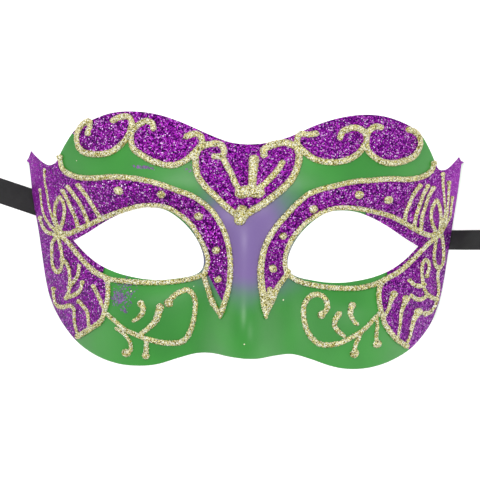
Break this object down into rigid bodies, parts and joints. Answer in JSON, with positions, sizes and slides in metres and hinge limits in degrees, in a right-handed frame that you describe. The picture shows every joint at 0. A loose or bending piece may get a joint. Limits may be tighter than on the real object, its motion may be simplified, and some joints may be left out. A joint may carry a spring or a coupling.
{
  "type": "masquerade half mask",
  "caption": "Moulded half mask for a masquerade, open behind, with eye holes, glitter fields, raised scroll lines and ribbon ties.",
  "frame": {"origin": "centre of the mask's box at the surface that its two side rims rest on", "axes": "+Z out of the face, +Y to the forehead, +X to the right as seen from in front"},
  "size_m": [0.2656, 0.1041, 0.0685],
  "materials": {
    "face_paint": "satin green paint with an airbrushed lilac middle, bare white plastic inside",
    "purple_glitter": "coarse purple glitter in clear glue",
    "gold_glitter": "champagne gold glitter glue, raised",
    "ribbon_satin": "black satin ribbon"
  },
  "bodies": {
    "root": {"mask_shell": "face_paint", "glitter_band_top": "purple_glitter", "glitter_field_left": "purple_glitter", "glitter_field_right": "purple_glitter", "gold_top_trim": "gold_glitter", "gold_frame_left": "gold_glitter", "gold_frame_right": "gold_glitter", "gold_cheek_left": "gold_glitter", "gold_cheek_right": "gold_glitter", "gold_comma_left": "gold_glitter", "gold_comma_right": "gold_glitter", "gold_dot_left_1": "gold_glitter", "gold_dot_left_2": "gold_glitter", "gold_dot_left_3": "gold_glitter", "gold_dot_left_4": "gold_glitter", "gold_dot_left_5": "gold_glitter", "gold_dot_right_1": "gold_glitter", "gold_dot_right_2": "gold_glitter", "gold_dot_right_3": "gold_glitter", "gold_dot_right_4": "gold_glitter", "gold_dot_right_5": "gold_glitter", "ribbon_left": "ribbon_satin", "ribbon_right": "ribbon_satin"}
  },
  "joints": []
}
